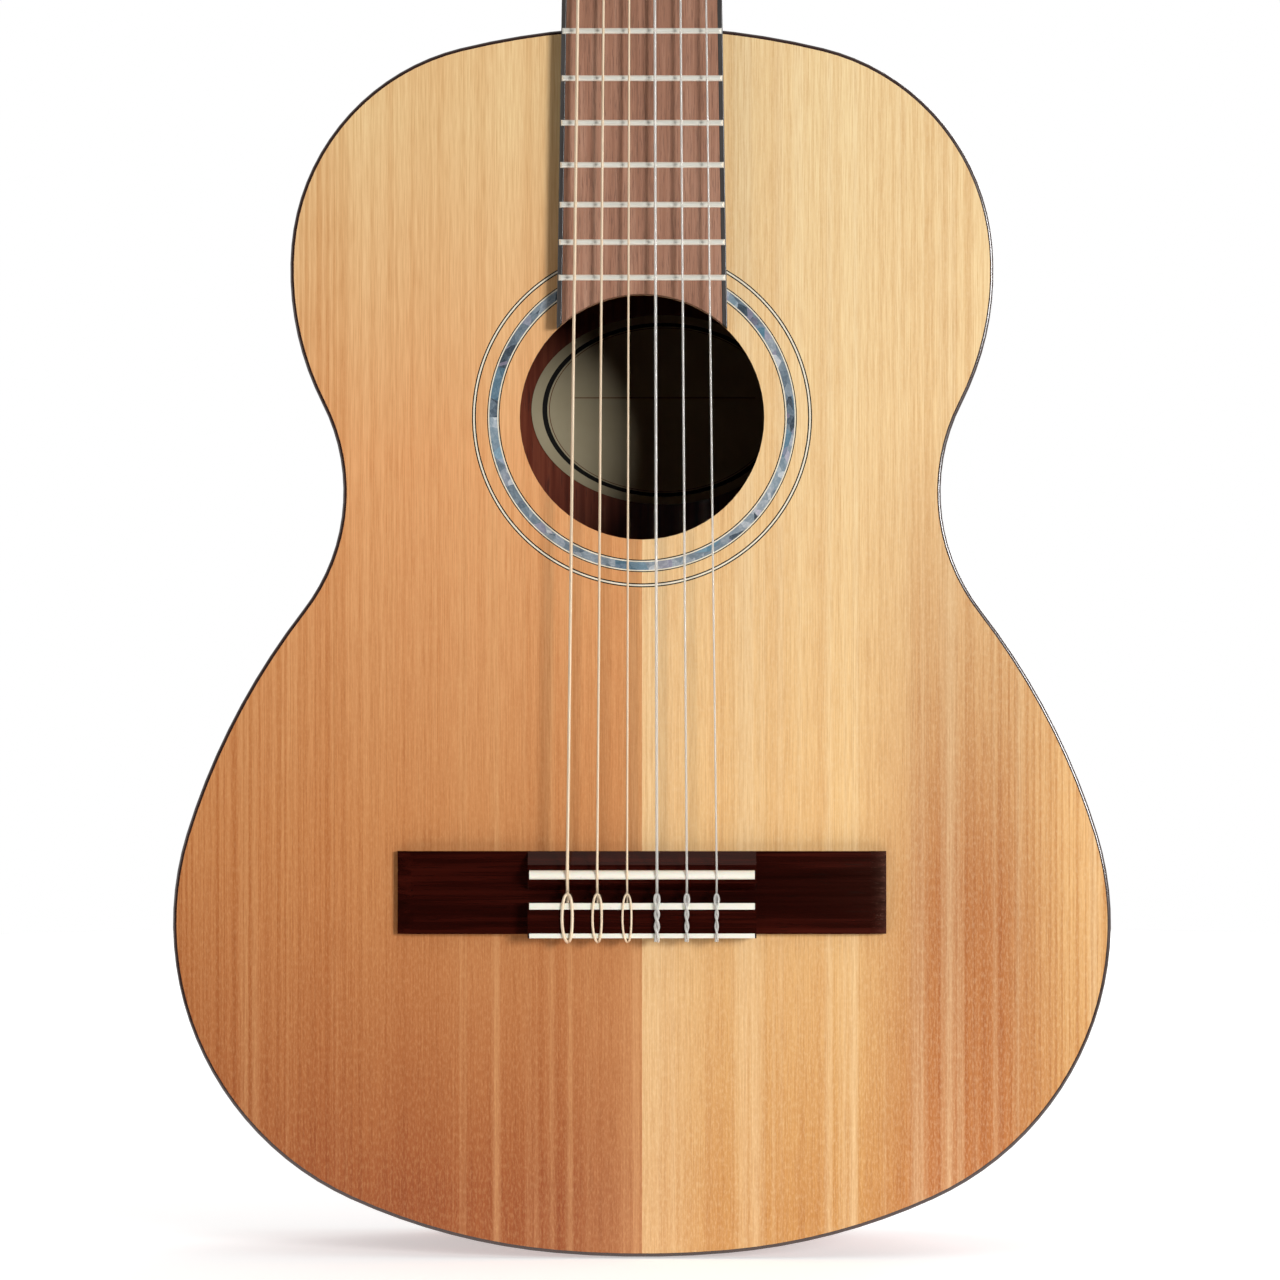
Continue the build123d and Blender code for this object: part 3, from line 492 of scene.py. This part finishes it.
# Head veneer: 2 mm of dark striped hardwood glued to the face of the head, cut through for the
# two slots and finished in the same gloss lacquer as the body.
veneer_wood = timber("lacquered_dark_veneer", tint(30, 15, 12), tint(56, 28, 22), tint(88, 48, 36), lacquer,
                     figure=60.0, gloss=(0.28, 0.4), deep=0.000006)
eased("head_veneer", veneer_wood, edge=0.0005, steps=3)

# Fingerboard: 6 mm of open-pored brown hardwood, oiled, its end cut to the curve of the
# soundhole. Strips of black fibre cover both edges.
board_wood = timber("oiled_brown_hardwood", tint(136, 92, 70), tint(163, 116, 92), tint(184, 140, 116),
                    {"Specular IOR Level": 0.35}, figure=70.0, streak=900.0, pore=0.55, fill=0.42,
                    gloss=(0.5, 0.62), deep=0.00002)
eased("fingerboard", board_wood, edge=0)
board_edge = Finish("black_fibre", {"Coat Weight": 0.5, "Coat Roughness": 0.15})
rub = board_edge.noise(board_edge.place(scale=(500, 500, 30)))
board_edge.feed("Base Color", board_edge.mix(rub, tint(44, 42, 42), tint(80, 76, 74)))
board_edge.feed("Roughness", board_edge.span(rub, 0.3, 0.7, 0.28, 0.42))
eased("fingerboard_edge_strips", board_edge, edge=0.0005, steps=3)

# Frets: polished nickel-silver wire, 2.1 mm wide, pressed into the board by its tang. The
# ends are filed to a slope over the edge strips.
fret_metal = Finish("polished_nickel_silver", {"Metallic": 0.5})
file_marks = fret_metal.noise(fret_metal.place(scale=(40, 900, 3000)), detail=4)
fret_metal.feed("Base Color", fret_metal.mix(file_marks, tint(250, 246, 232), tint(255, 254, 244)))
fret_metal.feed("Roughness", fret_metal.span(file_marks, 0.3, 0.7, 0.34, 0.5))
eased("frets", fret_metal, edge=0.00018, steps=2)

# Nut and saddle: bone, polished where the strings bear. The tie block's two strips are the
# same white, glued into rebates along its edges.
bone = Finish("polished_bone", {"Coat Weight": 0.25, "Coat Roughness": 0.15, "Subsurface Weight": 0.12,
                                "Subsurface Scale": 0.002})
cloudy = bone.noise(bone.place(scale=(90, 400, 400)), detail=4)
specks = bone.span(bone.noise(bone.place(scale=(500, 3000, 3000)), detail=2), 0.68, 0.76)
clean_bone = bone.mix(cloudy, tint(250, 247, 236), tint(240, 234, 215))
bone.feed("Base Color", bone.mix(specks * 0.4, clean_bone, tint(186, 168, 132)))
bone.feed("Roughness", bone.span(cloudy, 0.3, 0.7, 0.26, 0.4))
bone.relief(specks * -1.0, 0.00003, 0.4)
eased("nut", bone, edge=0.0002)
eased("saddle", bone, edge=0.00015)
eased("tie_block_strips", bone, edge=0.00015)

# Bridge: one piece of very dark hardwood with its grain from wing to wing, glued to the
# soundboard. The middle is raised for the saddle and the tie block, and the wings are thin.
bridge_wood = timber("dark_bridge_hardwood", tint(24, 4, 2), tint(38, 7, 4), tint(64, 18, 11),
                     {"Coat Weight": 0.25, "Coat Roughness": 0.04, "Specular IOR Level": 0.3,
                      "Specular Tint": (1.0, 0.5, 0.35, 1)},
                     grain="X", figure=60.0, streak=520.0, gloss=(0.17, 0.27), deep=0.000008)
eased("bridge", bridge_wood, edge=0.0005, steps=3)

# Tuning machines: a nickelled plate on each side of the head, held by wood screws, with three
# worms between lugs. Each turns a brass wheel screwed to the post of a white nylon roller.
nickel = Finish("nickel_plate", {"Metallic": 1.0})
worn = nickel.noise(nickel.place(scale=(220, 220, 220)), detail=5)
nickel.feed("Base Color", nickel.mix(worn, tint(222, 220, 214), tint(184, 180, 170)))
nickel.feed("Roughness", nickel.span(worn, 0.3, 0.75, 0.12, 0.34))
nickel.relief(worn, 0.00003, 0.3)
brass = Finish("satin_brass", {"Metallic": 1.0})
turned = brass.noise(brass.place(scale=(2400, 120, 120)), detail=4)
brass.feed("Base Color", brass.mix(turned, tint(206, 168, 96), tint(170, 128, 66)))
brass.feed("Roughness", brass.span(turned, 0.3, 0.75, 0.2, 0.42))
white_nylon = Finish("white_nylon", {"Subsurface Weight": 0.1, "Subsurface Scale": 0.002})
mould = white_nylon.noise(white_nylon.place(scale=(160, 700, 700)))
white_nylon.feed("Base Color", white_nylon.mix(mould, tint(240, 236, 222), tint(222, 216, 198)))
white_nylon.feed("Roughness", white_nylon.span(mould, 0.3, 0.7, 0.3, 0.45))
for name in ("bass_tuner_plate", "treble_tuner_plate"):
    eased(name, nickel, edge=0.00025)
eased("tuner_plate_screws", nickel, edge=0.00012)
for number in range(1, 7):
    eased(f"tuner_{number}_roller", white_nylon, edge=0.0003)
    eased(f"tuner_{number}_wheel", brass, edge=0.0001, steps=1)
    eased(f"tuner_{number}_worm", nickel, edge=0.00008, steps=1)

# Buttons: moulded pearly plastic, flattened ovals that swell away from the head, each pressed
# over the end of its worm's shaft with a short round collar.
pearl = Finish("pearly_plastic", {"Coat Weight": 0.9, "Coat Roughness": 0.05})
swirl = pearl.noise(pearl.place(scale=(120, 120, 120)), detail=4, rough=0.6)
drift = pearl.node("ShaderNodeVectorMath", {"operation": "MULTIPLY_ADD"},
                   {0: swirl, 1: (0.02, 0.02, 0.02), 2: pearl.place()})
petals = pearl.part(pearl.cells(drift, 260.0), "X")
pearl.feed("Base Color", pearl.ramp(petals * 0.6 + swirl * 0.4, (0.1, tint(206, 202, 190)),
                                    (0.5, tint(232, 229, 218)), (0.9, tint(252, 250, 244))))
pearl.feed("Roughness", pearl.span(petals, 0.0, 1.0, 0.2, 0.36))
head_frame = Matrix.Translation((0, 0, -0.007)) @ Matrix.Rotation(radians(-14), 4, "X")
ROLLER_HEIGHTS = (0.044, 0.079, 0.114)
BUTTON_THICK, BUTTON_LONG, BUTTON_WIDE = 0.0078, 0.0158, 0.0136
SHAFT_OUT, SHAFT_BELOW_ROLLER = 0.0376, 0.0078
GRIP_AT, COLLAR_AT = 0.0299, 0.0220


def pearl_button(number, side, height):
    grip = bmesh.new()
    bmesh.ops.create_cube(grip, size=1)
    bmesh.ops.scale(grip, verts=grip.verts, vec=(BUTTON_THICK, BUTTON_LONG, BUTTON_WIDE))
    bmesh.ops.bevel(grip, geom=grip.edges, offset=0.0024, affect="EDGES", segments=2, profile=0.5, material=-1)
    for corner in grip.verts:
        near = 0.5 - corner.co.y / BUTTON_LONG
        corner.co.z *= 1 - 0.30 * near ** 2
        corner.co.x *= 1 - 0.22 * near ** 2
    bmesh.ops.translate(grip, verts=grip.verts, vec=(0, GRIP_AT, 0))
    cone = bmesh.ops.create_cone(grip, cap_ends=True, segments=28, radius1=0.0029, radius2=0.0025, depth=0.0040)
    collar = cone["verts"]
    bmesh.ops.rotate(grip, verts=collar, cent=(0, 0, 0), matrix=Matrix.Rotation(radians(-90), 3, "X"))
    bmesh.ops.translate(grip, verts=collar, vec=(0, COLLAR_AT, 0))
    on_shaft = Matrix.Translation((side * SHAFT_OUT, 0, height - SHAFT_BELOW_ROLLER))
    bmesh.ops.transform(grip, verts=grip.verts, matrix=head_frame @ on_shaft)
    bmesh.ops.recalc_face_normals(grip, faces=grip.faces)
    for face in grip.faces:
        face.smooth = True
    button = bpy.data.objects.new(f"tuner_{number}_pearl_button", bpy.data.meshes.new("pearl_button"))
    grip.to_mesh(button.data)
    grip.free()
    button.data.materials.append(pearl.material)
    button.data.set_sharp_from_angle(angle=radians(50))
    bpy.context.scene.collection.objects.link(button)
    moulded = button.modifiers.new("moulded", "SUBSURF")
    moulded.levels = moulded.render_levels = 2
    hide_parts(f"tuner_{number}_button")
    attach(button, f"tuner_{number}_worm_and_button")


for rank, height in enumerate(ROLLER_HEIGHTS):
    pearl_button(6 - rank, -1, height)
    pearl_button(1 + rank, 1, height)

# Strings: the three basses are fine multifilament wound with silvered wire, and the three
# trebles are clear nylon. Each is tied at the block, crosses saddle and nut and winds on its
# roller, where its wraps are a coil of their own that turns with the roller.
STRINGS = (
    # number, radius, width of its tie, place along its roller
    (6, 0.00056, 0.0046, 0.0180), (5, 0.00045, 0.0040, 0.0132), (4, 0.00038, 0.0038, 0.0096),
    (3, 0.00051, 0.0026, 0.0096), (2, 0.00041, 0.0024, 0.0132), (1, 0.00036, 0.0023, 0.0180),
)
TIES_FROM = -0.3056
SPREAD_AT_SADDLE, SPREAD_AT_NUT = 0.0522, 0.0380
WINDING_PITCH = 0.00028
NUT_TOP, NUT_Z = -0.00765, -0.0118
SADDLE_TOP, SADDLE_Z = -0.01106, -0.60248
BLOCK_TOP, HOLE = -0.0093, -0.0049
ROLLER_DEEP, WRAP_BED = 0.0075, 0.0050

winding = Finish("silvered_winding", {"Metallic": 0.35, "Specular IOR Level": 0.5})
round_wire = winding.part(winding.place(), "Z") * (2 * pi / WINDING_PITCH)
turns = winding.node("ShaderNodeMath", {"operation": "SINE"}, {0: round_wire})
tarnish = winding.noise(winding.place(scale=(900, 900, 60)), detail=3)
winding.feed("Base Color", winding.mix(tarnish, tint(250, 230, 202), tint(224, 198, 164)))
winding.feed("Roughness", winding.span(tarnish, 0.3, 0.7, 0.32, 0.46))
winding.relief(turns, 0.00003, 0.5)
clear_nylon = Finish("clear_nylon", {"Transmission Weight": 0.5, "IOR": 1.5, "Roughness": 0.12})
haze = clear_nylon.noise(clear_nylon.place(scale=(400, 400, 40)))
clear_nylon.feed("Base Color", clear_nylon.mix(haze, tint(251, 250, 245), tint(236, 234, 228)))


def strand(name, radius, points, finish, body):
    line = bpy.data.curves.new(name, "CURVE")
    line.dimensions = "3D"
    line.bevel_depth = radius
    line.bevel_resolution = 4
    line.resolution_u = 8
    line.use_fill_caps = True
    spline = line.splines.new("NURBS")
    spline.points.add(len(points) - 1)
    for point, place in zip(spline.points, points):
        point.co = (*place, 1)
    spline.order_u = 3
    spline.use_endpoint_u = True
    line.materials.append(finish.material)
    piece = bpy.data.objects.new(name, line)
    bpy.context.scene.collection.objects.link(piece)
    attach(piece, body)
    return piece


def open_tie(x, r, width):
    """A bass string's tie: up from the hole, over the block, round the string and back again."""
    half, lie = width / 2 - r, BLOCK_TOP - r - 0.00005
    low, high, over = lie + 0.0001, lie + 0.0008, lie + 0.0009
    way = (
        (0.00, HOLE, 0.3200), (0.25, -0.0068, 0.3204), (0.45, high, 0.3200), (0.75, lie, 0.3186),
        (0.98, lie, 0.3150), (1.00, lie, 0.3090), (0.80, low, 0.3058), (0.45, high, 0.3041),
        (0.00, over, 0.3035), (-0.45, high, 0.3041), (-0.84, low, 0.3060), (-1.06, lie, 0.3100),
        (-1.08, lie, 0.3140), (-0.80, lie, 0.3176), (-0.40, low, 0.3194), (-0.14, over, 0.3202),
        (-0.05, -0.0074, 0.3205),
    )
    return [(x + side * half, y, TIES_FROM - below) for side, y, below in way]


def twisted_leg(x, r, lie, step, start):
    """One point on one of the two legs that are twisted together across the block."""
    turn = pi * step / 4 + start
    return (x + 1.25 * r * cos(turn), lie - r - 0.9 * r * sin(turn), TIES_FROM - 0.3190 + 0.0115 * step / 11)


def twisted_tie(x, r, width):
    """A treble string's tie: a small loop round the string, with its two legs twisted together."""
    half, lie = width / 2 - r, BLOCK_TOP - r
    points = [(x, HOLE, TIES_FROM - 0.3200), (x + r, -0.0072, TIES_FROM - 0.3204)]
    points.append((x + r, lie - r, TIES_FROM - 0.3196))
    for step in range(1, 12):
        points.append(twisted_leg(x, r, lie, step, 0))
    loop = ((-1, 0, 0.3062), (-0.9, 0.0004, 0.3044), (0, 0.0009, 0.3034), (0.9, 0.0004, 0.3044), (1, 0, 0.3062))
    for side, lift, below in loop:
        points.append((x + side * half, lie + lift, TIES_FROM - below))
    for step in range(11, 0, -1):
        points.append(twisted_leg(x, r, lie, step, pi))
    points.append((x - r, lie - 0.2 * r, TIES_FROM - 0.3202))
    return points


for rank, (number, r, tie_width, wrap_at) in enumerate(STRINGS):
    side = -1 if rank < 3 else 1
    height = ROLLER_HEIGHTS[rank if rank < 3 else 5 - rank]
    finish, slot_name = (winding, "wound_string") if rank < 3 else (clear_nylon, "nylon_string")
    x_saddle, x_nut = (share * (rank / 5 - 0.5) for share in (SPREAD_AT_SADDLE, SPREAD_AT_NUT))
    x_wrap = side * wrap_at
    reach = WRAP_BED + r
    leave = head_frame @ Vector((x_wrap, ROLLER_DEEP - reach, height))
    over_nut = Vector((x_nut, NUT_TOP - r, NUT_Z))
    over_saddle = Vector((x_saddle, SADDLE_TOP - r, SADDLE_Z))
    into_hole = Vector((x_saddle, HOLE, TIES_FROM - 0.3062))
    route = [
        leave, over_nut.lerp(leave, 0.06), over_nut, over_nut.lerp(over_saddle, 0.004),
        over_saddle.lerp(over_nut, 0.004), over_saddle, over_saddle.lerp(into_hole, 0.22),
        into_hole.lerp(over_saddle, 0.2), into_hole, Vector((x_saddle, HOLE, TIES_FROM - 0.3080)),
        Vector((x_saddle, HOLE, TIES_FROM - 0.3180)),
    ]
    tie = open_tie(x_saddle, r, tie_width) if rank < 3 else twisted_tie(x_saddle, r, tie_width)
    run = strand(f"string_{number}_run", r, [*route, *tie], finish, "guitar")
    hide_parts(f"string_{number}")
    coil = []
    way_along = side * r * 2.15 * (-1 if wrap_at > 0.012 else 1)
    for step in range(57):
        turn = 2 * pi * step / 16
        out, deep, up = way_along * step / 16, reach * cos(turn), reach * sin(turn)
        coil.append(head_frame @ Vector((x_wrap + out, ROLLER_DEEP - deep, height + up)))
    wraps = strand(f"string_{number}_wraps", r, coil, finish, f"tuner_{number}_roller_and_wheel")

# Floor finish: matt white paper with a little tooth, glowing faintly so that it stays as pale
# as the room behind it.
matt_paper = Finish("matt_paper", {"Roughness": 0.9, "Specular IOR Level": 0.1, "Emission Color": (1, 1, 1, 1),
                                   "Emission Strength": 0.44})
tooth = matt_paper.noise(matt_paper.place(scale=(30, 30, 30)), detail=6)
matt_paper.feed("Base Color", matt_paper.mix(tooth, tint(252, 252, 251), tint(249, 249, 248)))
paper_floor.data.materials.append(matt_paper.material)
